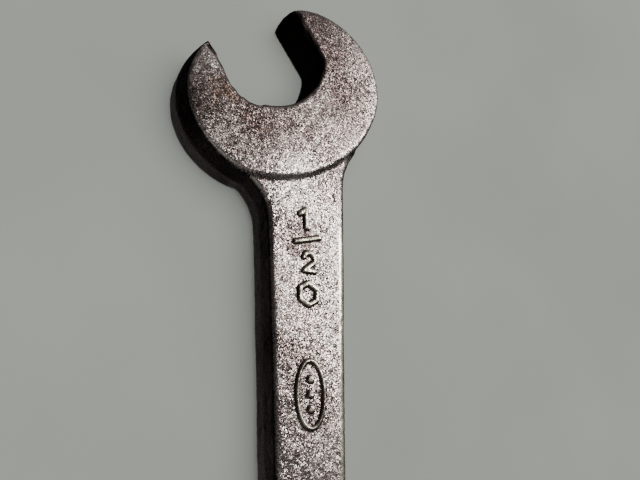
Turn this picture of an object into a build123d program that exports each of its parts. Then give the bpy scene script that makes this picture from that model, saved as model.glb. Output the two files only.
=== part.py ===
from build123d import *
import os
from math import asin, atan2, cos, degrees, hypot, pi, radians, sin, sqrt

# A drop-forged combination wrench lying on a bench, in millimetres and degrees.
# X runs along the shank towards the open end, Y to the left of it, and Z up from the bench.
# The origin is the centre of a nut held in the open jaw, dropped to the bench.

# Open end
across_flats = 23.5
jaw_angle = 35.0
throat_radius = 15.0
throat_floor = 13.8  # from the nut's centre to the deepest point of the throat
throat_corner = 1.2
cheek_depth = 28.45  # from the nut's centre to the back of the head, at the parting plane
back_radius, back_turn = 30.7, 32.7
side_radius, side_turn = 15.3, 103.3
shoulder_radius = 13.7
head_thickness = 9.6

# Shank
shank_offset = 10.3  # the shank's centre line lies to the right of the nut's centre
shank_thickness = 7.2
waist_half_width = 6.45
waist_x = -175.0
waist_radius = 4180.0
edge_radius = 1.3
left_neck_radius = 10.0
right_neck_radius = 14.0

# Ring end
ring_x = -212.0
ring_radius = 18.5
ring_top, ring_bottom = 6.4, 4.8  # above and below the parting plane
ring_neck_radius = 14.0
neck_bite = 0.15  # how far each neck's arc sinks into the head or the ring
socket_points = 12
socket_chamfer = 0.9
ring_edge = 1.6

# The forging, and where its zones meet
parting_height = head_thickness / 2
draft = 7.0
head_joint_x = -32.0
ring_joint_x = -185.0

# Raised marks on the shank's face
mark_height, mark_root = 0.35, 0.3
stroke = 0.85
numeral_height, numeral_width = 4.4, 3.2
one_place, bar_place, two_place = (-35.7, -9.5), (-39.9, -9.9), (-44.3, -10.2)
hexagon_place, cartouche_place = (-50.5, -9.9), (-68.7, -10.0)
bar_length, bar_tilt = 6.2, 15.0
hexagon_radius = 2.5
cartouche_length, cartouche_width = 12.4, 6.2
pip_radius, pip_spacing = 0.65, 2.6


def polar(centre, radius, angle):
    """The point at an angle from the direction that points away from the mouth."""
    return (centre[0] - radius * cos(radians(angle)), centre[1] + radius * sin(radians(angle)))


def jaw_place(z=0.0):
    """The head's own frame: X out of the mouth, Y to the left, at the nut's centre."""
    return Location((0, 0, z), (0, 0, jaw_angle))


def in_row(point):
    """A point of the head's own frame in the row's."""
    x, y = point
    turn = radians(jaw_angle)
    return (x * cos(turn) - y * sin(turn), x * sin(turn) + y * cos(turn))


def head_arcs():
    """Centres of the back, left side and left shoulder arcs, in the head's own frame."""
    back_centre = (back_radius - cheek_depth, 0.0)
    side_centre = polar(back_centre, back_radius - side_radius, back_turn)
    shoulder_centre = polar(side_centre, side_radius - shoulder_radius, back_turn + side_turn)
    return back_centre, side_centre, shoulder_centre


def head_outline():
    """The head without its mouth: three tangent arcs a side, closed straight across the tips."""
    back_centre, side_centre, shoulder_centre = head_arcs()
    shoulder_angle = back_turn + side_turn
    tip_half = across_flats / 2
    tip_angle = 180 - degrees(asin((tip_half - shoulder_centre[1]) / shoulder_radius))
    left = [
        polar(back_centre, back_radius, back_turn),
        polar(side_centre, side_radius, back_turn + side_turn / 2),
        polar(side_centre, side_radius, shoulder_angle),
        polar(shoulder_centre, shoulder_radius, (shoulder_angle + tip_angle) / 2),
        polar(shoulder_centre, shoulder_radius, tip_angle),
    ]
    right = [(x, -y) for x, y in left]
    edges = [ThreePointArc(left[0], (-cheek_depth, 0), right[0])]
    for side in (left, right):
        edges.append(ThreePointArc(side[0], side[1], side[2]))
        edges.append(ThreePointArc(side[2], side[3], side[4]))
    edges.append(Line(left[4], right[4]))
    return make_face(Curve() + edges)


def mouth():
    """The straight-walled slot between the jaws, with an arc at the bottom and eased corners."""
    half = across_flats / 2
    centre_x = throat_radius - throat_floor
    corner_x = centre_x - sqrt(throat_radius**2 - half**2)
    open_x = across_flats
    edges = [
        ThreePointArc((corner_x, half), (-throat_floor, 0), (corner_x, -half)),
        Polyline((corner_x, -half), (open_x, -half), (open_x, half), (corner_x, half)),
    ]
    face = make_face(Curve() + edges)
    corners = [v for v in face.vertices() if abs(v.X - corner_x) < 0.01]
    return fillet(corners, throat_corner)


def side_point(x, side):
    """A point on the shank's long waisted edge, side +1 on the left."""
    rise = waist_radius - sqrt(waist_radius**2 - (x - waist_x) ** 2)
    half = waist_half_width + rise
    return (x, side * half - shank_offset)


def neck(centre, radius, side, neck_radius):
    """The arc that fills the corner between a round end and one side of the shank.

    It sinks into the end by neck_bite, and returns its start on the end, middle and end point."""
    side_y = side * (waist_half_width + waist_radius) - shank_offset
    to_end = radius + neck_radius - neck_bite
    to_side = waist_radius - neck_radius
    dx, dy = waist_x - centre[0], side_y - centre[1]
    apart = hypot(dx, dy)
    along = (to_end**2 - to_side**2 + apart**2) / (2 * apart)
    across = sqrt(to_end**2 - along**2)
    found = [
        (centre[0] + (along * dx - turn * across * dy) / apart,
         centre[1] + (along * dy + turn * across * dx) / apart)
        for turn in (1, -1)
    ]
    middle_x = (ring_x + head_joint_x) / 2
    x, y = min(found, key=lambda place: abs(place[0] - middle_x))
    to_centre = atan2(centre[1] - y, centre[0] - x)
    to_edge = atan2(y - side_y, x - waist_x)
    halfway = (to_centre + to_edge) / 2
    return [(x + neck_radius * cos(a), y + neck_radius * sin(a)) for a in (to_centre, halfway, to_edge)]


def web_outline():
    """The shank in plan with its four necks, reaching a little way into the head and the ring."""
    back_centre, side_centre, _ = head_arcs()
    ring_centre = (ring_x, -shank_offset)
    head_left = neck(in_row(side_centre), side_radius, 1, left_neck_radius)
    head_right = neck(in_row(back_centre), back_radius, -1, right_neck_radius)
    ring_left = neck(ring_centre, ring_radius, 1, ring_neck_radius)
    ring_right = neck(ring_centre, ring_radius, -1, ring_neck_radius)
    edges = [Line(head_right[0], head_left[0]), Line(ring_left[0], ring_right[0])]
    for near_head, near_ring, side in ((head_left, ring_left, 1), (head_right, ring_right, -1)):
        middle_x = (near_head[2][0] + near_ring[2][0]) / 2
        edges.append(ThreePointArc(*near_head))
        edges.append(ThreePointArc(*near_ring))
        edges.append(ThreePointArc(near_head[2], side_point(middle_x, side), near_ring[2]))
    return make_face(Curve() + edges)


def forged(face, above, below):
    """A slab that narrows by the draft angle above and below the parting plane."""
    face = (Pos(0, 0, parting_height) * face).face()
    return extrude(face, above, taper=draft) + extrude(face, -below, taper=draft)


def rim(solid, top, bottom):
    """The edges around a slab's top and bottom faces."""
    faces = [f for f in solid.faces().filter_by(Axis.Z) if abs(f.center().Z - top) < 0.01]
    faces += [f for f in solid.faces().filter_by(Axis.Z) if abs(f.center().Z - bottom) < 0.01]
    return [e for f in faces for e in f.outer_wire().edges()]


def head():
    half = head_thickness / 2
    blank = forged(jaw_place() * head_outline(), half, half)
    slot = extrude(jaw_place() * mouth(), head_thickness)
    return blank - slot


def web():
    """The shank with its necks, its long edges rounded."""
    half = shank_thickness / 2
    slab = forged(web_outline(), half, half)
    edges = rim(slab, parting_height + half, parting_height - half)
    sides = [e for e in edges if e.geom_type != GeomType.LINE]
    return fillet(sides, edge_radius)


def socket():
    """Two hexagons an eighth of a turn apart make a twelve-point socket, with a chamfered entry."""
    corner = across_flats / 2 / cos(pi / 6)
    depth = ring_top + ring_bottom + 2
    base = Pos(ring_x, -shank_offset, parting_height - ring_bottom - 1)
    hexagon = RegularPolygon(corner, 6)
    turned = Rot(0, 0, 360 / socket_points) * hexagon
    cut = extrude(base * (hexagon + turned), depth)
    lead = corner + socket_chamfer - across_flats / 2
    for height, up in ((parting_height + ring_top, 1), (parting_height - ring_bottom, -1)):
        place = Pos(ring_x, -shank_offset, height - up * lead / 2)
        low, high = across_flats / 2, across_flats / 2 + lead
        radii = (low, high) if up > 0 else (high, low)
        cut += place * Cone(radii[0], radii[1], lead)
    return cut


def ring():
    circle = Pos(ring_x, -shank_offset) * Circle(ring_radius)
    blank = forged(circle, ring_top, ring_bottom)
    edges = rim(blank, parting_height + ring_top, parting_height - ring_bottom)
    return fillet(edges, ring_edge)


def one():
    half = numeral_height / 2
    stem = trace(Line((0, -half), (0, half)), stroke)
    return stem + trace(Line((0, half), (-numeral_width / 3, half / 2)), stroke)


def two():
    """A hook, a slanted stroke and a foot."""
    half = numeral_height / 2
    bowl = numeral_width / 2 - 0.2
    foot_left, foot_right = (-numeral_width / 2, -half), (numeral_width / 2, -half)
    hook = CenterArc((0, half - bowl), bowl, -40, 210)
    path = hook + Line(hook @ 0, foot_left)
    return trace(path, stroke) + trace(Line(foot_left, foot_right), stroke)


def marks():
    """The raised fraction, a hexagon for its nut and an oval cartouche with plain pips."""
    bar = Rot(0, 0, bar_tilt) * SlotOverall(bar_length, stroke)
    hexagon = RegularPolygon(hexagon_radius, 6) - RegularPolygon(hexagon_radius - stroke, 6)
    length, width = cartouche_length / 2, cartouche_width / 2
    cartouche = Ellipse(width, length) - Ellipse(width - stroke, length - stroke)
    for pip_y in (-pip_spacing, 0, pip_spacing):
        cartouche += Pos(0, pip_y) * Circle(pip_radius)
    drawn = [
        (one_place, one()),
        (bar_place, bar),
        (two_place, two()),
        (hexagon_place, hexagon),
        (cartouche_place, cartouche),
    ]
    top = parting_height + shank_thickness / 2
    solids = []
    for (x, y), sketch in drawn:
        flat = Plane(origin=(x, y, top - mark_root), x_dir=(0, -1, 0), z_dir=(0, 0, 1))
        solids.append(extrude(flat * sketch, mark_root + mark_height))
    return solids


def zone(whole, low_x, high_x):
    """The stretch of the forging between two planes across the shank."""
    size = 300.0
    slab = Pos((low_x + high_x) / 2, 0, 0) * Box(high_x - low_x, size, size)
    return whole & slab


# One forging, parted into its three zones by planes across the shank.
forging = web() + head() + (ring() - socket())
shank = zone(forging, ring_joint_x, head_joint_x)
for mark in marks():
    shank += mark
far = 400.0
parts = {
    "open_end_head": zone(forging, head_joint_x, far),
    "shank": shank,
    "ring_end_head": zone(forging, -far, ring_joint_x),
}
os.makedirs("parts", exist_ok=True)
for name, solid in parts.items():
    print(name, solid.is_valid, len(solid.solids()), round(solid.volume, 1))
    export_step(solid, f"parts/{name}.step")
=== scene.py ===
import itertools
import math

import bmesh
import bpy
import numpy as np
from mathutils import Matrix, Vector


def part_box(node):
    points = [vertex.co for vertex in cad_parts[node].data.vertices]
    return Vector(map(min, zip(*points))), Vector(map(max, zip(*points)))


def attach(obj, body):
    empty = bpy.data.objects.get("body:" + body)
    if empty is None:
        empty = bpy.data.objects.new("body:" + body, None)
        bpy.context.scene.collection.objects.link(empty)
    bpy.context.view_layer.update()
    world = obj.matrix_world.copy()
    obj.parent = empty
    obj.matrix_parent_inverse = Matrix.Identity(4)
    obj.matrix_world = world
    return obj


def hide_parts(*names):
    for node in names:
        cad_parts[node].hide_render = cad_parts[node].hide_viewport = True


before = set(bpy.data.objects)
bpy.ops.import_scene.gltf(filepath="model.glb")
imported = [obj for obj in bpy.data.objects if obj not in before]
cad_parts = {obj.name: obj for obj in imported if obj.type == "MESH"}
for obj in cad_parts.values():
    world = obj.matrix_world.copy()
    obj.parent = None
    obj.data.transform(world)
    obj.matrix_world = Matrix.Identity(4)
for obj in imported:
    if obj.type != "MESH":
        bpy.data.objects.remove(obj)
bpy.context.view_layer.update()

mm = 0.001


def say(stage):
    print("wrench:", stage)


camera = {
    "place": (-80.2, 55.5, 117.5),  # in millimetres, as the aim is
    "aim": (-39.4, -13.0, 8.4),
    "roll": 63.0,
    "lens": 39.4,
    "sensor": 36.0,
    "near": 0.01,  # in metres
    "far": 20.0,
}


def placeCamera():
    data = bpy.data.cameras.new("benchCamera")
    data.lens = camera["lens"]
    data.sensor_width = camera["sensor"]
    data.clip_start = camera["near"]
    data.clip_end = camera["far"]
    obj = bpy.data.objects.new("benchCamera", data)
    bpy.context.scene.collection.objects.link(obj)
    place = Vector(camera["place"]) * mm
    forward = (Vector(camera["aim"]) * mm - place).normalized()
    right = forward.cross(Vector((0, 0, 1))).normalized()
    up = right.cross(forward)
    level = Matrix((right, up, -forward)).transposed().to_4x4()
    roll = Matrix.Rotation(math.radians(camera["roll"]), 4, "Z")
    obj.matrix_world = Matrix.Translation(place) @ level @ roll
    bpy.context.scene.camera = obj


placeCamera()
say("camera set")

# the plan of the forging, in millimetres
openEnd = {
    "acrossFlats": 23.5,
    "jawAngle": 35.0,
    "throatRadius": 15.0,
    "throatFloor": 13.8,  # behind the nut's middle
    "throatCorner": 1.2,
    "cheekDepth": 28.45,  # from the nut's middle to the back of the head
    "backRadius": 30.7,
    "backTurn": 32.7,  # degrees that each arc runs on for
    "sideRadius": 15.3,
    "sideTurn": 103.3,
    "shoulderRadius": 13.7,
    "edge": 0.35,  # rounding of the rim where it is crisp
    "wornEdge": 1.1,  # and where it is worn
    "wornOutset": 0.75,
    "crispFrom": 0.75,
    "spread": 0.45,  # of the left tip, outward along the jaw
    "lip": 0.55,  # and inward over the mouth
    "spreadReach": 7.0,
}

bar = {
    "waistHalf": 6.45,
    "waistX": -175.0,
    "waistRadius": 4180.0,
    "leftEdge": 0.65,
    "rightEdge": 1.7,
    "leftFull": -0.15,  # how far each flank stands out past the plan
    "rightFull": 0.4,
    "leftSlope": 0.05,  # lean of each flank from the parting line
    "rightSlope": 0.12,
    "leftNeck": 10.0,
    "rightNeck": 14.4,
    "ringNeck": 14.0,
    "bite": 0.15,  # how far the necks run into the round ends
    "rightProud": 1.1,
}

ringEnd = {
    "radius": 18.5,
    "chamfer": 0.9,
    "edge": 1.6,
}

forging = {
    "parting": 4.8,  # height of the parting line
    "draft": 7.0,
    "voxel": 0.28,
    "smoothing": 4,
    "cutSlack": 0.0001,
}


def boxOf(name):
    low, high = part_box(name)
    return np.array(low) / mm, np.array(high) / mm


headLow, headHigh = boxOf("open_end_head")
barLow, barHigh = boxOf("shank")
ringLow, ringHigh = boxOf("ring_end_head")
ringCentre = (ringLow[0] + ringEnd["radius"], (ringLow[1] + ringHigh[1]) / 2)
barAxis = ringCentre[1]
parting = forging["parting"]
draftSlope = math.tan(math.radians(forging["draft"]))


def smooth(low, high, value):
    t = np.clip((value - low) / (high - low), 0, 1)
    return t * t * (3 - 2 * t)


def fromMouth(centre, radius, angle):
    a = math.radians(angle)
    return np.array((centre[0] - radius * math.cos(a), centre[1] + radius * math.sin(a)))


def turned(points, degrees):
    a = math.radians(degrees)
    spin = np.array(((math.cos(a), -math.sin(a)), (math.sin(a), math.cos(a))))
    return np.asarray(points) @ spin.T


def headCentres():
    back = np.array((openEnd["backRadius"] - openEnd["cheekDepth"], 0.0))
    side = fromMouth(back, openEnd["backRadius"] - openEnd["sideRadius"], openEnd["backTurn"])
    last = openEnd["backTurn"] + openEnd["sideTurn"]
    shoulder = fromMouth(side, openEnd["sideRadius"] - openEnd["shoulderRadius"], last)
    return back, side, shoulder


def wornShare(side, angle):
    # the rim is worn round on the right flank and the back, and stays crisp on the left
    a = math.radians(angle)
    outward = turned((-math.cos(a), side * math.sin(a)), openEnd["jawAngle"])
    return float(smooth(openEnd["crispFrom"], 0.0, outward[1]))


def rimAt(reach, roll, worn):
    # how far the wall stands in from the plan, and how high, part way round the rim's edge
    edge = openEnd["edge"] + (openEnd["wornEdge"] - openEnd["edge"]) * worn
    outset = openEnd["wornOutset"] * worn
    if reach == 0:
        return -outset, 0.0
    height = reach - edge * (1 - math.sin(roll))
    return height * draftSlope + edge * (1 - math.cos(roll)) - outset, height


def halfHead(side, reach, roll, steps=60):
    # from the middle of the back round the cheek to the jaw tip, then down the jaw to the throat
    back, cheek, shoulder = headCentres()
    half = openEnd["acrossFlats"] / 2
    first = openEnd["backTurn"]
    last = first + openEnd["sideTurn"]
    tipInset, tipHeight = rimAt(reach, roll, wornShare(side, last))
    tipRise = (half - shoulder[1]) / (openEnd["shoulderRadius"] - tipInset)
    tip = 180 - math.degrees(math.asin(tipRise))
    spans = (
        (back, openEnd["backRadius"], 0, first, steps),
        (cheek, openEnd["sideRadius"], first, last, 2 * steps),
        (shoulder, openEnd["shoulderRadius"], last, tip, steps),
    )
    line = []
    for centre, radius, start, end, count in spans:
        for angle in np.linspace(start, end, count)[1 if line else 0 :]:
            inset, height = rimAt(reach, roll, wornShare(side, min(angle, last)))
            line.append((*fromMouth(centre, radius - inset, angle), height))
    tipX = line[-1][0]
    for x, y in halfThroat(line[-1], steps):
        line.append((x, y, tipHeight))
    line = np.array(line)
    if side > 0:
        # the left tip is spread and rolled inward by use
        away = np.hypot(line[:, 0] - tipX, line[:, 1] - half)
        near = smooth(openEnd["spreadReach"], 0, away)
        line[:, 0] += openEnd["spread"] * near
        line[:, 1] -= openEnd["lip"] * near
    return line


def halfThroat(tip, steps):
    half = openEnd["acrossFlats"] / 2
    radius = openEnd["throatRadius"]
    ease = openEnd["throatCorner"]
    centre = np.array((radius - openEnd["throatFloor"], 0.0))
    easeBack = math.sqrt((radius - ease) ** 2 - (half - ease) ** 2)
    easeCentre = np.array((centre[0] - easeBack, half - ease))
    meet = math.degrees(math.atan2(easeCentre[1], centre[0] - easeCentre[0]))
    line = [np.array((x, half)) for x in np.linspace(tip[0], easeCentre[0], steps)[1:-1]]
    line += [fromMouth(easeCentre, ease, a) for a in np.linspace(90, meet, 12)]
    return line + [fromMouth(centre, radius, a) for a in np.linspace(meet, 0, steps)[1:]]


def headLoop(reach, roll, way):
    left = halfHead(1, reach, roll)
    right = halfHead(-1, reach, roll)[1:-1][::-1] * (1, -1, 1)
    line = np.vstack((left, right))
    return np.column_stack((turned(line[:, :2], openEnd["jawAngle"]), parting + way * line[:, 2]))


def headLoops():
    rolls = np.linspace(0, math.pi / 2, 8)
    below = [headLoop(parting - headLow[2], roll, -1) for roll in rolls[::-1]]
    above = [headLoop(headHigh[2] - parting, roll, 1) for roll in rolls]
    return below + [headLoop(0, 0, 1)] + above


def circlesMeet(a, radiusA, b, radiusB, nearX):
    gap = b - a
    apart = np.hypot(*gap)
    along = (radiusA**2 - radiusB**2 + apart**2) / (2 * apart)
    across = math.sqrt(radiusA**2 - along**2)
    ahead, aside = gap / apart, np.array((-gap[1], gap[0])) / apart
    both = [a + ahead * along + aside * across * s for s in (1, -1)]
    return min(both, key=lambda p: abs(p[0] - nearX))


def flankCentre(side):
    return np.array((bar["waistX"], barAxis + side * (bar["waistHalf"] + bar["waistRadius"])))


def neck(centre, radius, side, neckRadius, steps=40):
    # the concave arc between a round end and the bar's flank
    toEndCentre = radius + neckRadius - bar["bite"]
    toFlankCentre = bar["waistRadius"] - neckRadius
    middle = np.mean((headLow[0], ringHigh[0]))
    pivot = circlesMeet(np.array(centre), toEndCentre, flankCentre(side), toFlankCentre, middle)
    toEnd = np.array(centre) - pivot
    toFlank = pivot - flankCentre(side)
    start = math.atan2(toEnd[1], toEnd[0])
    end = math.atan2(toFlank[1], toFlank[0])
    arc = np.linspace(start, end, steps)
    return [pivot + neckRadius * np.array((math.cos(a), math.sin(a))) for a in arc]


def flank(a, b, side, steps=200):
    xs = np.linspace(a, b, steps)[1:-1]
    rise = bar["waistRadius"] - np.sqrt(bar["waistRadius"] ** 2 - (xs - bar["waistX"]) ** 2)
    return [np.array((x, barAxis + side * (bar["waistHalf"] + r))) for x, r in zip(xs, rise)]


def barSides():
    back, side, _ = headCentres()
    sideCentre, backCentre = turned((side, back), openEnd["jawAngle"])
    sides = []
    backReach = openEnd["backRadius"] + bar["rightProud"]
    heads = (
        (1, sideCentre, openEnd["sideRadius"], "leftNeck"),
        (-1, backCentre, backReach, "rightNeck"),
    )
    for s, centre, radius, name in heads:
        nearHead = neck(centre, radius, s, bar[name])
        nearRing = neck(ringCentre, ringEnd["radius"], s, bar["ringNeck"])
        between = flank(nearHead[-1][0], nearRing[-1][0], s)
        sides.append(np.array(nearHead + between + nearRing[::-1]))
    return sides


def barLoops(steps=8):
    # each flank moves in along its own normal, so its ends stay inside the heads
    flanks = []
    for s, line, hand in zip((1, -1), barSides(), ("left", "right")):
        edge, slope, full = (bar[hand + part] for part in ("Edge", "Slope", "Full"))
        ahead = np.gradient(line, axis=0)
        ahead /= np.hypot(ahead[:, 0], ahead[:, 1])[:, None]
        inward = s * np.column_stack((-ahead[:, 1], ahead[:, 0]))
        flanks.append((line - inward * full, inward, edge, slope))
    loops = []
    for reach, way in ((parting - barLow[2], -1), (barHigh[2] - parting, 1)):
        for roll in np.linspace(0, math.pi / 2, steps)[::way]:
            loop = []
            for line, inward, edge, slope in flanks:
                height = reach - edge * (1 - math.sin(roll))
                flat = line + inward * (height * slope + edge * (1 - math.cos(roll)))
                loop.append(np.column_stack((flat, np.full(len(flat), parting + way * height))))
            loops.append(np.vstack((loop[0], loop[1][::-1])))
    middle = [np.column_stack((line, np.full(len(line), parting))) for line, _, _, _ in flanks]
    loops.insert(steps, np.vstack((middle[0], middle[1][::-1])))
    return loops


def levels(low, high, edge, steps=7):
    # height and inset of each loop of a drafted slab with rounded rims, from the bottom up
    rounds = np.linspace(0, math.pi / 2, steps)
    halves = []
    for reach in (parting - low, high - parting):
        heights = reach - edge * (1 - np.sin(rounds))
        insets = heights * draftSlope + edge * (1 - np.cos(rounds))
        halves.append(np.column_stack((heights, insets)))
    below = [(parting - h, inset) for h, inset in halves[0][::-1]]
    above = [(parting + h, inset) for h, inset in halves[1]]
    return below + [(parting, 0.0)] + above


def skinned(name, loops, closed):
    # a solid through loops of equal length, capped, or closed on itself as a ring
    count = len(loops[0])
    faces = []
    for i in range(len(loops) if closed else len(loops) - 1):
        n = (i + 1) % len(loops)
        for j in range(count):
            k = (j + 1) % count
            faces.append((i * count + j, i * count + k, n * count + k, n * count + j))
    if not closed:
        faces.append(tuple(range(count))[::-1])
        faces.append(tuple((len(loops) - 1) * count + j for j in range(count)))
    mesh = bpy.data.meshes.new(name)
    corners = [tuple(float(c) * mm for c in p) for loop in loops for p in loop]
    mesh.from_pydata(corners, [], faces)
    mesh.update()
    return mesh


def socketRadius(angle):
    # a twelve-point socket is two hexagons, half a face apart
    sixth = math.pi / 3
    reach = [((angle + shift) % sixth) - sixth / 2 for shift in (0, sixth / 2)]
    return max(openEnd["acrossFlats"] / 2 / math.cos(a) for a in reach)


def ringMesh(steps=360):
    angles = [2 * math.pi * i / steps for i in range(steps)]
    stack = levels(ringLow[2], ringHigh[2], ringEnd["edge"])
    section = [([ringEnd["radius"] - inset] * steps, z) for z, inset in stack]
    flat = openEnd["acrossFlats"] / 2
    lead = flat / math.cos(math.pi / 6) + ringEnd["chamfer"] - flat
    low, high = stack[0][0], stack[-1][0]
    fall = np.linspace(0, lead, 5)
    for z in list(high - fall) + list(low + fall[::-1]):
        cone = flat + lead - min(high - z, z - low)
        section.append(([max(socketRadius(a), cone) for a in angles], z))
    loops = []
    for radii, z in section:
        around = [(r * math.cos(a), r * math.sin(a)) for r, a in zip(radii, angles)]
        loops.append([(ringCentre[0] + x, ringCentre[1] + y, z) for x, y in around])
    return skinned("ringEnd", loops, closed=True)


def forgedBlank():
    head = skinned("openEnd", headLoops(), closed=False)
    middle = skinned("bar", barLoops(), closed=False)
    joined = bmesh.new()
    for mesh in (head, middle, ringMesh()):
        joined.from_mesh(mesh)
        bpy.data.meshes.remove(mesh)
    bmesh.ops.recalc_face_normals(joined, faces=joined.faces)
    mesh = bpy.data.meshes.new("forging")
    joined.to_mesh(mesh)
    joined.free()
    obj = bpy.data.objects.new("forging", mesh)
    bpy.context.scene.collection.objects.link(obj)
    merge = obj.modifiers.new("merge", "REMESH")
    merge.mode = "VOXEL"
    merge.voxel_size = forging["voxel"] * mm
    remeshed = obj.evaluated_get(bpy.context.evaluated_depsgraph_get())
    merged = bpy.data.meshes.new_from_object(remeshed)
    bpy.data.objects.remove(obj)
    bpy.data.meshes.remove(mesh)
    return merged


steelMesh = forgedBlank()
say(f"forging blank with {len(steelMesh.vertices)} points")

# the marks, raised on the bar's face
marks = {
    "height": 0.46,
    "stroke": 0.85,
    "wall": 0.28,
    "one": (-35.7, -9.5),
    "divider": (-39.9, -9.9),
    "dividerLength": 6.2,
    "dividerTilt": 15.0,
    "two": (-44.3, -10.2),
    "tall": 4.4,
    "wide": 3.2,
    "flagDrop": 0.22,  # share of the height at which the 1's flag starts
    "stemLean": (0.15, 0.2),
    "stemFoot": 0.7,
    "bowlTurn": (165, -40),  # degrees, round the top of the 2
    "hexagon": (-50.5, -9.9),
    "hexagonRadius": 2.5,
    "cartouche": (-68.7, -10.0),
    "cartoucheLong": 12.4,
    "cartoucheWide": 6.2,
    "cartoucheLine": 0.55,
    "pip": 0.65,
    "pipSpacing": 2.6,
    "finer": 0.75,  # how far round the figures the faces are halved
    "faceUp": 0.8,
    "pointUp": 0.7,
}


def upright(place, points):
    # the figures read with the open end upwards: their right is -Y and their top is +X
    return [(place[0] + up, place[1] - right) for right, up in points]


def circlePoints(radius, start, end, steps, squash=1.0):
    turns = np.radians(np.linspace(start, end, steps))
    return [(radius * math.cos(a), radius * squash * math.sin(a)) for a in turns]


def figureOne():
    tall, wide = marks["tall"] - marks["stroke"], marks["wide"] - marks["stroke"]
    top, foot = marks["stemLean"]
    flag = [(-wide / 2, tall * marks["flagDrop"]), (top, tall / 2)]
    stem = [(foot, -tall / 2), (marks["stemFoot"], -tall / 2)]
    return upright(marks["one"], flag + stem)


def figureTwo():
    tall, wide = marks["tall"] - marks["stroke"], marks["wide"] - marks["stroke"]
    curve = circlePoints(wide / 2, *marks["bowlTurn"], 14)
    bowl = [(x, tall / 2 - wide / 2 + y) for x, y in curve]
    foot = [(-wide / 2, -tall / 2), (wide / 2, -tall / 2)]
    return upright(marks["two"], bowl + foot)


def divider():
    a = math.radians(marks["dividerTilt"])
    half = (marks["dividerLength"] - marks["stroke"]) / 2
    ends = [(-half * math.cos(a), -half * math.sin(a)), (half * math.cos(a), half * math.sin(a))]
    return upright(marks["divider"], ends)


def hexagon():
    radius = marks["hexagonRadius"] - marks["stroke"] / 2
    return upright(marks["hexagon"], circlePoints(radius, 30, 390, 7))


def cartouche():
    radius = (marks["cartoucheWide"] - marks["cartoucheLine"]) / 2
    squash = (marks["cartoucheLong"] - marks["cartoucheLine"]) / (2 * radius)
    return upright(marks["cartouche"], circlePoints(radius, 0, 360, 48, squash))


def toLine(points, line):
    # distance from each point to the nearest stretch of the line
    nearest = np.full(len(points), np.inf)
    for a, b in zip(np.array(line[:-1]), np.array(line[1:])):
        along = np.clip((points - a) @ (b - a) / max((b - a) @ (b - a), 1e-9), 0, 1)
        nearest = np.minimum(nearest, np.hypot(*(points - a - along[:, None] * (b - a)).T))
    return nearest


def markGap(points):
    # distance to the nearest figure, below nought inside it
    gap = toLine(points, cartouche()) - marks["cartoucheLine"] / 2
    for line in (figureOne(), divider(), figureTwo(), hexagon()):
        gap = np.minimum(gap, toLine(points, line) - marks["stroke"] / 2)
    for i in (-1, 0, 1):
        pip = upright(marks["cartouche"], [(0, i * marks["pipSpacing"])] * 2)
        gap = np.minimum(gap, toLine(points, pip) - marks["pip"])
    return gap


def markHeight(points):
    return marks["height"] * smooth(marks["wall"] / 2, -marks["wall"] / 2, markGap(points))


# working the skin
skin = {
    "relaxing": 0.5,
    "stepSoftening": 8,
    "crestRelaxing": 0.6,
    "crestRounds": 2,
    "swell": 0.10,  # each height in millimetres, with the size of its lumps below it
    "swellSize": 9.0,
    "scale": 0.03,
    "scaleSize": 1.5,
    "grain": 0.022,
    "grainSize": 0.6,
    "pit": 0.06,
    "pitSize": 0.9,
    "pitEdge": (0.35, 0.8),
    "pitField": 11.0,
    "pitFieldEdge": (-0.2, 0.5),
    "sawnReach": (0.25, 0.9),  # distance from the mouth's faces at which the forged skin starts
    "sawnGrain": 0.15,
    "tipWear": 0.18,
    "tipReach": 3.0,
    "tipFacing": (0.2, 0.8),
    "nibble": 0.4,
    "nibbleSize": 2.2,
    "nibbleEdge": (-0.3, 0.7),
    "nibbleReach": (0.9, 0.1),
    "nibbleDepth": (2.0, 0.5),
    "rubbedTop": (0.5, 1.0),
    "edgeHighlight": 1.0,
    "highlightAlong": (3.0, 6.0),  # how far down the bar the painted edge highlight begins
    "highlightFacing": (0.2, 0.5),
    "highlightTurning": (0.03, 0.09),
    "highlightTurned": (0.75, 0.45),
    # spread and edge of the darkening on the marks' walls and round their foot, dirt and painted shade
    "dirtAndShadeRelaxing": 0.8,
    "dirtAndShadeRounds": 12,
    "dirtAndShadeEdge": (0.03, 0.25),
    "seed": 31,
}

# the ledge between each head's face and the lower face of the bar
ledge = {
    "cheekFrom": 14.0,
    "barHalf": 9.5,
    "aboveParting": 2.6,
    "headReach": (1.6, 0.6),
    "headOffset": 0.3,
    "headBefore": -15.0,
    "ringReach": (2.6, 1.2),
    "ringOffset": 0.6,
    "ringBeyond": 5.0,
}


def pointsOf(mesh):
    flat = np.empty(len(mesh.vertices) * 3)
    mesh.vertices.foreach_get("co", flat)
    return flat.reshape(-1, 3) / mm


def edgesOf(mesh):
    flat = np.empty(len(mesh.edges) * 2, int)
    mesh.edges.foreach_get("vertices", flat)
    return flat.reshape(-1, 2)


def normalsOf(mesh):
    flat = np.empty(len(mesh.vertices) * 3)
    mesh.vertex_normals.foreach_get("vector", flat)
    return flat.reshape(-1, 3)


def setPoints(mesh, points):
    mesh.vertices.foreach_set("co", (points * mm).ravel())
    mesh.update()


def neighbourMean(values, edges):
    ends = np.concatenate((edges[:, 0], edges[:, 1]))
    others = np.concatenate((edges[:, 1], edges[:, 0]))
    count = np.maximum(np.bincount(ends, minlength=len(values)), 1)
    columns = values.reshape(len(values), -1)
    sums = [
        np.bincount(ends, weights=column[others], minlength=len(values)) for column in columns.T
    ]
    return (np.array(sums) / count).T.reshape(values.shape)


def relaxed(points, edges, weight, rounds):
    for _ in range(rounds):
        points = points + weight * (neighbourMean(points, edges) - points)
    return points


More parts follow.
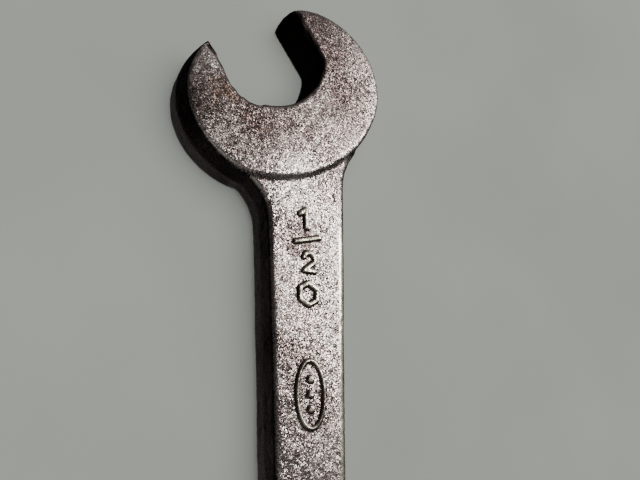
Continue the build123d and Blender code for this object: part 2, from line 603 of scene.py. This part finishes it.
def lumps(points, size, seed):
    # smooth random heights from -1 to 1, on a turned lattice with cells of this size
    table = np.random.default_rng(seed).uniform(-1, 1, 8192)
    turn = np.array(((0.80, 0.36, 0.48), (-0.60, 0.48, 0.64), (0.0, -0.80, 0.60)))
    place = points @ turn / size
    cell = np.floor(place).astype(np.int64)
    part = place - cell
    part = part * part * (3 - 2 * part)
    total = np.zeros(len(points))
    for corner in itertools.product((0, 1), repeat=3):
        at = cell + corner
        key = at[:, 0] * 73856093 ^ at[:, 1] * 19349663 ^ at[:, 2] * 83492791
        share = np.where(np.array(corner) == 1, part, 1 - part).prod(axis=1)
        total += share * table[key % len(table)]
    return total


def mouthDistance(points):
    # how far a point is from the sawn faces of the mouth, and of the socket
    flat = turned(points[:, :2], -openEnd["jawAngle"])
    across = np.abs(np.abs(flat[:, 1]) - openEnd["acrossFlats"] / 2)
    centre = openEnd["throatRadius"] - openEnd["throatFloor"]
    radial = np.hypot(flat[:, 0] - centre, flat[:, 1])
    throat = np.abs(radial - openEnd["throatRadius"])
    corner = centre - math.sqrt(openEnd["throatRadius"] ** 2 - (openEnd["acrossFlats"] / 2) ** 2)
    distance = np.where(flat[:, 0] > corner, across, throat)
    socket = np.hypot(points[:, 0] - ringCentre[0], points[:, 1] - ringCentre[1])
    corners = openEnd["acrossFlats"] / 2 / math.cos(math.pi / 6)
    return np.where(points[:, 0] < ringHigh[0], np.maximum(socket - corners, 0), distance)


def refineMarks(mesh):
    # finer faces where the figures stand
    work = bmesh.new()
    work.from_mesh(mesh)
    faces = [face for face in work.faces if face.normal.z > marks["faceUp"]]
    upper = [face for face in faces if face.calc_center_median().z > parting * mm]
    centres = np.array([face.calc_center_median()[:2] for face in upper]) / mm
    chosen = set()
    for i in np.flatnonzero(markGap(centres) < marks["finer"]):
        chosen.update(upper[i].edges)
    bmesh.ops.subdivide_edges(work, edges=list(chosen), cuts=1, use_grid_fill=True)
    work.to_mesh(mesh)
    work.free()


def stepZone(points):
    # how fully each point belongs to one of the two ledges
    back, cheek, _ = headCentres()
    local = turned(points[:, :2], -openEnd["jawAngle"])
    outsideBack = np.hypot(*(local - back).T) - openEnd["backRadius"]
    outsideCheek = np.hypot(*(local - cheek).T) - openEnd["sideRadius"]
    gap = np.where(local[:, 1] > ledge["cheekFrom"], outsideCheek, outsideBack)
    inBar = np.abs(points[:, 1] - barAxis) < ledge["barHalf"]
    high = np.abs(points[:, 2] - parting) > ledge["aboveParting"]
    head = smooth(*ledge["headReach"], np.abs(gap + ledge["headOffset"]))
    head = head * inBar * high * (points[:, 0] < ledge["headBefore"])
    fromRing = np.hypot(points[:, 0] - ringCentre[0], points[:, 1] - ringCentre[1])
    ring = smooth(*ledge["ringReach"], np.abs(fromRing - ringEnd["radius"] + ledge["ringOffset"]))
    ring = ring * (points[:, 0] > ringCentre[0] + ledge["ringBeyond"]) * inBar
    return np.maximum(head, ring)


def fromTips(points):
    # distance to the nearer jaw tip
    tips = [halfHead(side, 0, 0) * (1, side, 1) for side in (1, -1)]
    tips = [turned(line[np.argmax(line[:, 0])][:2], openEnd["jawAngle"]) for line in tips]
    return np.min([np.hypot(*(points[:, :2] - tip).T) for tip in tips], axis=0)


# places where the steel's colour is brighter (above nought) or darker: x, y, reach and strength
# Some are tone and patina of the steel. Others are painted light: the brightest, round the key lamp's
# aim on the bar, are a painted highlight, and the dark ones at the jaws and over the head's middle are
# painted shade where the light falls off.
patinaAndPaintedLight = (
    (-26.0, -6.5, 5.0, 1.6),
    (-32.0, -10.0, 5.5, 1.2),
    (-8.0, 12.5, 4.0, 0.6),
    (-8.0, 9.9, 2.0, 1.4),
    (-21.5, 0.5, 4.0, -0.6),
    (-4.0, -24.0, 4.0, 0.5),
    (-19.0, -4.0, 5.0, -0.5),
    (-17.1, -5.9, 5.5, -0.7),
    (-10.0, -20.4, 5.5, -0.9),
    (0.9, -17.0, 5.5, -1.3),
    (-61.0, -6.2, 4.5, -0.6),
    (-36.6, -5.3, 2.5, -0.6),
    (-46.0, -15.0, 5.0, 0.3),
    (-56.0, -9.0, 5.0, 0.4),
    (-80.0, -9.0, 6.0, 0.9),
    (-17.0, 4.5, 6.0, -0.8),
    (-15.5, 11.5, 4.0, -0.5),
    (-61.5, -6.0, 4.0, -0.6),
    (9.0, -11.5, 5.0, -1.4),
    (-73.0, -6.0, 4.0, -0.3),
)

# places that took some rust, in the same way
rusty = (
    (-13.0, 8.5, 4.5, 1.0),
    (-18.5, 2.0, 3.5, 0.5),
    (-20.0, -8.0, 4.0, 0.4),
    (-1.0, -14.5, 3.5, 0.4),
    (-41.0, -10.0, 3.5, 0.5),
    (-66.5, -14.0, 3.0, 0.3),
)


def blotted(points, places):
    total = np.zeros(len(points))
    for x, y, reach, strength in places:
        away = ((points[:, 0] - x) ** 2 + (points[:, 1] - y) ** 2) / reach**2
        total += strength * np.exp(-away)
    return total


def forgedRelief(points, normals, rough):
    # the heights of the forged skin over the plain shape, with its pits and its battered edges
    seed = skin["seed"]
    height = skin["swell"] * lumps(points, skin["swellSize"], seed)
    height += skin["scale"] * lumps(points, skin["scaleSize"], seed + 1)
    height += skin["grain"] * lumps(points, skin["grainSize"], seed + 2)
    holes = smooth(*skin["pitEdge"], lumps(points, skin["pitSize"], seed + 3))
    holes *= smooth(*skin["pitFieldEdge"], lumps(points, skin["pitField"], seed + 4))
    height -= skin["pit"] * holes
    height *= skin["sawnGrain"] + (1 - skin["sawnGrain"]) * rough
    nearTip = smooth(skin["tipReach"], 0, fromTips(points))
    height -= skin["tipWear"] * nearTip * smooth(*skin["tipFacing"], normals[:, 2])
    nearEdge = smooth(*skin["nibbleReach"], mouthDistance(points))
    nearEdge *= smooth(*skin["nibbleDepth"], headHigh[2] - points[:, 2])
    nearEdge *= points[:, 0] > ringHigh[0]
    bites = smooth(*skin["nibbleEdge"], lumps(points, skin["nibbleSize"], seed + 5))
    return height - skin["nibble"] * nearEdge * bites


def wearAndHighlightShare(points, normals, raised):
    # the tops of the marks are rubbed bright, and the bar's right long edge, where its rounding mirrors
    # the key lamp, gets a painted highlight
    near, far = (headLow[0] - away for away in skin["highlightAlong"])
    onBar = smooth(near, far, points[:, 0]) * smooth(*skin["highlightFacing"], normals[:, 2])
    turning = smooth(*skin["highlightTurning"], -normals[:, 1])
    turning *= smooth(*skin["highlightTurned"], -normals[:, 1])
    tops = smooth(*skin["rubbedTop"], raised / marks["height"])
    return np.maximum(tops, onBar * turning * skin["edgeHighlight"])


def workSkin(mesh):
    points = pointsOf(mesh)
    edges = edgesOf(mesh)
    points = relaxed(points, edges, skin["relaxing"], forging["smoothing"])
    softening = skin["relaxing"] * stepZone(points)[:, None]
    setPoints(mesh, relaxed(points, edges, softening, skin["stepSoftening"]))
    refineMarks(mesh)
    points = pointsOf(mesh)
    edges = edgesOf(mesh)
    normals = normalsOf(mesh)
    crest = -np.einsum("ij,ij->i", neighbourMean(points, edges) - points, normals)
    rough = smooth(*skin["sawnReach"], mouthDistance(points))
    height = forgedRelief(points, normals, rough)
    onFace = (normals[:, 2] > marks["pointUp"]) & (points[:, 2] > parting)
    raised = np.where(onFace, markHeight(points[:, :2]), 0)
    upward = np.array((0, 0, 1)) * raised[:, None]
    setPoints(mesh, points + normals * height[:, None] + upward)
    # rubbed mark tops, and a painted highlight along the bar's right long edge
    wearAndHighlight = wearAndHighlightShare(points, normals, raised)
    # darker on the marks' walls and round their foot, away from the rubbed tops: dirt, and painted
    # shade
    spreadMarks = relaxed(raised, edges, skin["dirtAndShadeRelaxing"], skin["dirtAndShadeRounds"])
    dirtAndShade = smooth(*skin["dirtAndShadeEdge"], spreadMarks / marks["height"]) * (1 - wearAndHighlight)
    layers = {
        "relief": height,
        "crest": relaxed(crest, edges, skin["crestRelaxing"], skin["crestRounds"]),
        "skin": rough,
        # stains and tone, with patches of painted highlight and painted shade
        "stainAndPaintedLight": blotted(points, patinaAndPaintedLight),
        "rust": blotted(points, rusty),
        "wearAndHighlight": wearAndHighlight,
        "dirtAndShade": dirtAndShade,
    }
    for name, values in layers.items():
        layer = mesh.attributes.new(name, "FLOAT", "POINT")
        layer.data.foreach_set("value", values.astype(np.float32))


workSkin(steelMesh)
say(f"skin worked, {len(steelMesh.vertices)} points")

# parted into the three pieces
pieces = {
    "openEndHead": "open_end_head",
    "shankBar": "shank",
    "ringEndHead": "ring_end_head",
}


def parted(mesh):
    # planes at the joints cut the forging, and each piece is closed by its own end face
    mesh.polygons.foreach_set("use_smooth", [True] * len(mesh.polygons))
    cut = bmesh.new()
    cut.from_mesh(mesh)
    joints = ((headLow[0], barHigh[0]), (barLow[0], ringHigh[0]))
    planes = [np.mean(pair) * mm for pair in joints]
    for x in planes:
        geometry = cut.verts[:] + cut.edges[:] + cut.faces[:]
        bmesh.ops.bisect_plane(
            cut, geom=geometry, dist=forging["cutSlack"] * mm, plane_co=(x, 0, 0), plane_no=(1, 0, 0)
        )
    whole = bpy.data.meshes.new("whole")
    cut.to_mesh(whole)
    cut.free()
    normals = normalsOf(whole)
    layer = whole.attributes.new("shading", "FLOAT_VECTOR", "POINT")
    layer.data.foreach_set("vector", normals.astype(np.float32).ravel())
    limits = [math.inf] + planes + [-math.inf]
    made = []
    for i, name in enumerate(pieces):
        made.append(takeBetween(whole, name, limits[i + 1], limits[i]))
    bpy.data.meshes.remove(whole)
    return made


def takeBetween(whole, name, low, high):
    part = bmesh.new()
    part.from_mesh(whole)
    away = [face for face in part.faces if not low < face.calc_center_median().x < high]
    bmesh.ops.delete(part, geom=away, context="FACES")
    rims = [edge for edge in part.edges if edge.is_boundary]
    ends = bmesh.ops.holes_fill(part, edges=rims, sides=0)["faces"]
    for face in ends:
        face.smooth = False
    mesh = bpy.data.meshes.new(name)
    part.to_mesh(mesh)
    part.free()
    shading = np.empty(len(mesh.vertices) * 3, np.float32)
    mesh.attributes["shading"].data.foreach_get("vector", shading)
    smoothNormals = shading.reshape(-1, 3)
    loopVertex = np.empty(len(mesh.loops), int)
    mesh.loops.foreach_get("vertex_index", loopVertex)
    loopNormals = smoothNormals[loopVertex]
    for face in mesh.polygons:
        if not face.use_smooth:
            loopNormals[face.loop_start : face.loop_start + face.loop_total] = face.normal
    mesh.normals_split_custom_set(loopNormals.tolist())
    mesh.attributes.remove(mesh.attributes["shading"])
    obj = bpy.data.objects.new(name, mesh)
    bpy.context.scene.collection.objects.link(obj)
    return obj


steelPieces = parted(steelMesh)
say("pieces: " + ", ".join(f"{p.name} {len(p.data.polygons)} faces" for p in steelPieces))

steel = {
    "patinaAndPaintedLight": (0.33, 0.25, 0.24, 1.0),
    "bright": (0.84, 0.765, 0.73, 1.0),
    "dark": (0.11, 0.078, 0.074, 1.0),
    "rust": (0.31, 0.185, 0.12, 1.0),
    "sawn": (0.14, 0.11, 0.10, 1.0),
    # tint of the rubbed mark tops and of the painted highlight on the bar's right edge
    "wearAndHighlightTint": (0.85, 0.80, 0.65, 1.0),
    "rough": 0.27,
    "facetSize": 0.135,
    "facetTilt": 0.38,
    "dimmed": 0.62,  # how dark the darkest facets are
    "dimCells": (0.05, 0.42),
    "lumpSize": 0.55,
    "lumpDepth": 0.03,
    "lumpSpeck": 0.34,
    "sawnLump": 0.2,
    "cloudSize": 9.0,
    "cloudSpeck": 0.5,
    "stainAndLightSpeck": 0.28,
    "cellSpeck": (-0.12, 0.71),
    "patinaFrom": (0.30, 0.62),  # each of these is where a coat starts and where it is full
    "brightFrom": (0.55, 1.05),
    "rustSize": 2.5,
    "rustPlace": 0.35,
    "rustFrom": (0.62, 0.95),
    "rustMost": 0.6,
    "hollowFrom": (-0.02, -0.09),
    "crestFrom": (0.006, 0.018),
    "dipFrom": (-0.003, -0.012),
    "edgeMost": 0.8,
    "dirtAndShadeMost": 0.85,
    "wearAndHighlightMost": 0.9,
    "wearAndHighlightTilt": 0.45,
    "sawnFrom": (0.1, 0.6),
    "sawnTilt": 0.25,
    "glossFrom": (0.3, 0.7),
    "glossRange": (-0.03, 0.06),
}


def node(tree, kind, inputs=None, **settings):
    made = tree.nodes.new(kind)
    for name, value in settings.items():
        setattr(made, name, value)
    for name, value in (inputs or {}).items():
        made.inputs[name].default_value = value
    return made


def newMaterial(name):
    made = bpy.data.materials.new(name)
    made.use_nodes = True
    made.node_tree.nodes.clear()
    return made, made.node_tree


def attribute(tree, name):
    return node(tree, "ShaderNodeAttribute", attribute_name=name).outputs["Fac"]


def noise(tree, place, size, detail=2.0, roughness=0.5):
    values = {"Scale": 1 / (size * mm), "Detail": detail, "Roughness": roughness}
    made = node(tree, "ShaderNodeTexNoise", values)
    tree.links.new(place, made.inputs["Vector"])
    return made.outputs["Fac"]


def ranged(tree, value, low, high, toLow=0.0, toHigh=1.0):
    spans = {"From Min": low, "From Max": high, "To Min": toLow, "To Max": toHigh}
    made = node(tree, "ShaderNodeMapRange", spans, interpolation_type="SMOOTHSTEP")
    tree.links.new(value, made.inputs["Value"])
    return made.outputs["Result"]


def blended(tree, factor, a, b):
    made = node(tree, "ShaderNodeMix", data_type="RGBA")
    colours = [socket for socket in made.inputs if socket.type == "RGBA"]
    tree.links.new(factor, made.inputs[0])
    for socket, value in zip(colours, (a, b)):
        if isinstance(value, tuple):
            socket.default_value = value
        else:
            tree.links.new(value, socket)
    return [socket for socket in made.outputs if socket.type == "RGBA"][0]


def combined(tree, operation, a, b):
    made = node(tree, "ShaderNodeMath", operation=operation)
    for socket, value in zip(made.inputs, (a, b)):
        if isinstance(value, (int, float)):
            socket.default_value = value
        else:
            tree.links.new(value, socket)
    return made.outputs["Value"]


def plus(tree, a, b):
    return combined(tree, "ADD", a, b)


def times(tree, a, b):
    return combined(tree, "MULTIPLY", a, b)


def facets(tree, place, size):
    # each crystal-sized cell of the scale has its own colour and tilt
    made = node(tree, "ShaderNodeTexVoronoi", {"Scale": 1 / (size * mm), "Randomness": 1.0})
    tree.links.new(place, made.inputs["Vector"])
    return made.outputs["Color"]


def tilted(tree, normal, cell, amount):
    offset = node(tree, "ShaderNodeVectorMath", operation="SUBTRACT")
    offset.inputs[1].default_value = (0.5, 0.5, 0.5)
    tree.links.new(cell, offset.inputs[0])
    scaled = node(tree, "ShaderNodeVectorMath", operation="SCALE")
    tree.links.new(offset.outputs["Vector"], scaled.inputs[0])
    tree.links.new(amount, scaled.inputs["Scale"])
    leaning = node(tree, "ShaderNodeVectorMath", operation="ADD")
    tree.links.new(normal, leaning.inputs[0])
    tree.links.new(scaled.outputs["Vector"], leaning.inputs[1])
    unit = node(tree, "ShaderNodeVectorMath", operation="NORMALIZE")
    tree.links.new(leaning.outputs["Vector"], unit.inputs[0])
    return unit.outputs["Vector"]


def skinColour(tree, place, cell, lump, cloud):
    # dark scale, brown patina and worn bright steel, cell by cell, moved by stains and by patches of
    # painted highlight and painted shade; then rust, darker hollows and creases, brighter worn crests,
    # dirt and painted shade round the marks, darker cells, and the rubbed mark tops with a painted
    # highlight on the bar's right edge
    parts = node(tree, "ShaderNodeSeparateColor")
    tree.links.new(cell, parts.inputs["Color"])
    # stains, patches of painted highlight and painted shade, and a random cloud shift the speck
    stainAndPaintedLight = times(tree, attribute(tree, "stainAndPaintedLight"), steel["stainAndLightSpeck"])
    worn = plus(tree, stainAndPaintedLight, times(tree, cloud, steel["cloudSpeck"]))
    speck = ranged(tree, parts.outputs["Blue"], 0, 1, *steel["cellSpeck"])
    speck = plus(tree, plus(tree, speck, worn), times(tree, lump, steel["lumpSpeck"]))
    patinaShare = ranged(tree, speck, *steel["patinaFrom"])
    colour = blended(tree, patinaShare, steel["dark"], steel["patinaAndPaintedLight"])
    colour = blended(tree, ranged(tree, speck, *steel["brightFrom"]), colour, steel["bright"])
    rustCloud = noise(tree, place, steel["rustSize"], 4.0, 0.65)
    rustCloud = plus(tree, rustCloud, times(tree, attribute(tree, "rust"), steel["rustPlace"]))
    crest = attribute(tree, "crest")
    wearAndHighlight = attribute(tree, "wearAndHighlight")
    dimmed = ranged(tree, parts.outputs["Red"], *steel["dimCells"], steel["dimmed"], 0.0)
    coats = (
        (ranged(tree, rustCloud, *steel["rustFrom"], 0.0, steel["rustMost"]), "rust"),
        (ranged(tree, attribute(tree, "relief"), *steel["hollowFrom"], 0.0, steel["edgeMost"]), "dark"),
        (ranged(tree, crest, *steel["crestFrom"], 0.0, steel["edgeMost"]), "bright"),
        (ranged(tree, crest, *steel["dipFrom"], 0.0, steel["edgeMost"]), "dark"),
        # dirt and painted shade on the marks' walls and round their foot
        (ranged(tree, attribute(tree, "dirtAndShade"), 0, 1, 0.0, steel["dirtAndShadeMost"]), "dark"),
        (dimmed, "dark"),
        # the rubbed mark tops, and the painted highlight along the bar's right edge
        (ranged(tree, wearAndHighlight, 0, 1, 0.0, steel["wearAndHighlightMost"]), "wearAndHighlightTint"),
    )
    for share, coat in coats:
        colour = blended(tree, share, colour, steel[coat])
    forged = ranged(tree, attribute(tree, "skin"), *steel["sawnFrom"])
    return blended(tree, forged, steel["sawn"], colour)


def forgedSteel():
    made, tree = newMaterial("forgedSteel")
    link = tree.links.new
    place = node(tree, "ShaderNodeTexCoord").outputs["Object"]
    rough = attribute(tree, "skin")
    cell = facets(tree, place, steel["facetSize"])
    lump = noise(tree, place, steel["lumpSize"], 3.0, 0.6)
    cloud = noise(tree, place, steel["cloudSize"], 3.0, 0.55)
    surface = node(tree, "ShaderNodeBsdfPrincipled", {"Metallic": 1.0})
    link(skinColour(tree, place, cell, lump, cloud), surface.inputs["Base Color"])
    least, most = (steel["rough"] + change for change in steel["glossRange"])
    link(ranged(tree, cloud, *steel["glossFrom"], least, most), surface.inputs["Roughness"])
    lumpy = node(tree, "ShaderNodeBump", {"Strength": 1.0, "Distance": steel["lumpDepth"] * mm})
    lumpShare = ranged(tree, rough, 0, 1, steel["sawnLump"], 1.0)
    link(times(tree, lump, lumpShare), lumpy.inputs["Height"])
    lean = ranged(tree, rough, 0, 1, steel["facetTilt"] * steel["sawnTilt"], steel["facetTilt"])
    leanShare = ranged(tree, attribute(tree, "wearAndHighlight"), 0, 1, 1.0, steel["wearAndHighlightTilt"])
    lean = times(tree, lean, leanShare)
    link(tilted(tree, lumpy.outputs["Normal"], cell, lean), surface.inputs["Normal"])
    out = node(tree, "ShaderNodeOutputMaterial")
    link(surface.outputs["BSDF"], out.inputs["Surface"])
    return made


steelFinish = forgedSteel()
for piece in steelPieces:
    piece.data.materials.append(steelFinish)
    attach(piece, "root")
    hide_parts(pieces[piece.name])
say("steel finish laid on")

bench = {
    "size": 6.0,  # in metres
    "shade": (0.33, 0.35, 0.32, 1.0),
    "shadeTo": (0.45, 0.47, 0.435, 1.0),
    "rough": 0.9,
    "cloudSize": 60.0,
}

# the aim is in millimetres, the distance and the size in metres
lamps = {
    "key": {
        "aim": (-32, -10, 8.5),
        "from": (0.31, -0.70, 0.64),
        "distance": 0.55,
        "size": 0.14,
        "power": 1.65,
        "tint": (1.0, 0.97, 0.94),
    },
    "benchWash": {
        "aim": (0, 0, 0),
        "from": (0.1, -0.1, 1.0),
        "distance": 1.6,
        "size": 2.4,
        "power": 13.0,
        "tint": (1.0, 1.0, 0.98),
    },
    "benchFill": {
        "aim": (0, 0, 0),
        "from": (0.1, -0.1, 1.0),
        "distance": 1.6,
        "size": 2.4,
        "power": 20.0,
        "tint": (1.0, 1.0, 0.98),
    },
}

# each edge is where a patch of the room starts and ends, by height or by the cosine off its middle
room = {
    "side": 0.05,
    "dark": 0.004,
    "sideEdge": (-0.45, 0.1),
    "under": 0.065,
    "underEdge": (-0.74, -0.92),
    "unlit": (0.32, 0.90, 0.30),
    "unlitEdge": (0.10, 0.55),
    "unlitShare": 0.03,
    "glow": 0.35,
    "glowFoot": (-0.18, 0.08),
    "glowTop": (0.45, 0.75),
    "glowUnlitEdge": (0.2, 0.7),
    "glowUnlitShare": 0.12,
    "glowGap": (-0.79, -0.51, 0.28),
    "glowGapEdge": (0.3, 0.7),
    "window": 0.3,
    "windowFrom": (-0.45, 0.25, 0.86),
    "windowEdge": (0.82, 0.97),
    "light": (1.0, 1.0, 0.97, 1.0),
    "backdrop": (0.42, 0.44, 0.41, 1.0),
}


def layBench():
    half = bench["size"] / 2
    mesh = bpy.data.meshes.new("benchTop")
    corners = [(-half, -half, 0), (half, -half, 0), (half, half, 0), (-half, half, 0)]
    mesh.from_pydata(corners, [], [(0, 1, 2, 3)])
    made, tree = newMaterial("benchTop")
    place = node(tree, "ShaderNodeTexCoord").outputs["Object"]
    cloud = noise(tree, place, bench["cloudSize"])
    shade = blended(tree, cloud, bench["shade"], bench["shadeTo"])
    surface = node(tree, "ShaderNodeBsdfPrincipled", {"Roughness": bench["rough"]})
    tree.links.new(shade, surface.inputs["Base Color"])
    out = node(tree, "ShaderNodeOutputMaterial")
    tree.links.new(surface.outputs["BSDF"], out.inputs["Surface"])
    mesh.materials.append(made)
    obj = bpy.data.objects.new("benchTop", mesh)
    bpy.context.scene.collection.objects.link(obj)
    obj.visible_glossy = False  # the steel mirrors the room, not the bench
    return obj


def hangLamp(name, receivers, blockers=None):
    spec = lamps[name]
    data = bpy.data.lights.new(name, "AREA")
    data.shape = "DISK"
    data.size = spec["size"]
    data.energy = spec["power"]
    data.color = spec["tint"]
    obj = bpy.data.objects.new(name, data)
    bpy.context.scene.collection.objects.link(obj)
    toward = Vector(spec["from"]).normalized()
    obj.location = Vector(spec["aim"]) * mm + toward * spec["distance"]
    obj.rotation_euler = toward.to_track_quat("Z", "Y").to_euler()
    lit = bpy.data.collections.new(name + "Lights")
    for receiver in receivers:
        lit.objects.link(receiver)
    obj.light_linking.receiver_collection = lit
    if blockers is not None:
        stopping = bpy.data.collections.new(name + "Shadows")
        for blocker in blockers:
            stopping.objects.link(blocker)
        obj.light_linking.blocker_collection = stopping


def lightRoom():
    # a dim room whose glow low on the walls and one pale window show up in the steel
    world = bpy.data.worlds.new("room")
    world.use_nodes = True
    tree = world.node_tree
    tree.nodes.clear()
    link = tree.links.new
    toward = node(tree, "ShaderNodeTexCoord").outputs["Generated"]
    split = node(tree, "ShaderNodeSeparateXYZ")
    link(toward, split.inputs["Vector"])
    up = split.outputs["Z"]

    def facing(direction, edge, start, end):
        dot = node(tree, "ShaderNodeVectorMath", operation="DOT_PRODUCT")
        dot.inputs[1].default_value = direction
        link(toward, dot.inputs[0])
        return ranged(tree, dot.outputs["Value"], *edge, start, end)

    side = ranged(tree, up, *room["sideEdge"], room["dark"], room["side"])
    side = times(tree, side, facing(room["unlit"], room["unlitEdge"], 1.0, room["unlitShare"]))
    glow = ranged(tree, up, *room["glowTop"], room["glow"], 0.0)
    glow = times(tree, ranged(tree, up, *room["glowFoot"]), glow)
    glow = times(tree, glow, facing(room["glowGap"], room["glowGapEdge"], 1.0, 0.0))
    unlit = facing(room["unlit"], room["glowUnlitEdge"], 1.0, room["glowUnlitShare"])
    glow = times(tree, glow, unlit)
    window = facing(room["windowFrom"], room["windowEdge"], 0.0, room["window"])
    under = ranged(tree, up, *room["underEdge"], 0.0, room["under"])
    strength = plus(tree, plus(tree, plus(tree, side, glow), window), under)
    light = node(tree, "ShaderNodeBackground", {"Color": room["light"]})
    link(strength, light.inputs["Strength"])
    backdrop = node(tree, "ShaderNodeBackground", {"Color": room["backdrop"]})
    seen = node(tree, "ShaderNodeMixShader")
    link(node(tree, "ShaderNodeLightPath").outputs["Is Camera Ray"], seen.inputs["Fac"])
    link(light.outputs["Background"], seen.inputs[1])
    link(backdrop.outputs["Background"], seen.inputs[2])
    out = node(tree, "ShaderNodeOutputWorld")
    link(seen.outputs["Shader"], out.inputs["Surface"])
    bpy.context.scene.world = world


benchTop = layBench()
hangLamp("key", steelPieces)
hangLamp("benchWash", [benchTop])
hangLamp("benchFill", [benchTop], blockers=[benchTop])
lightRoom()
say("bench and lamps set")
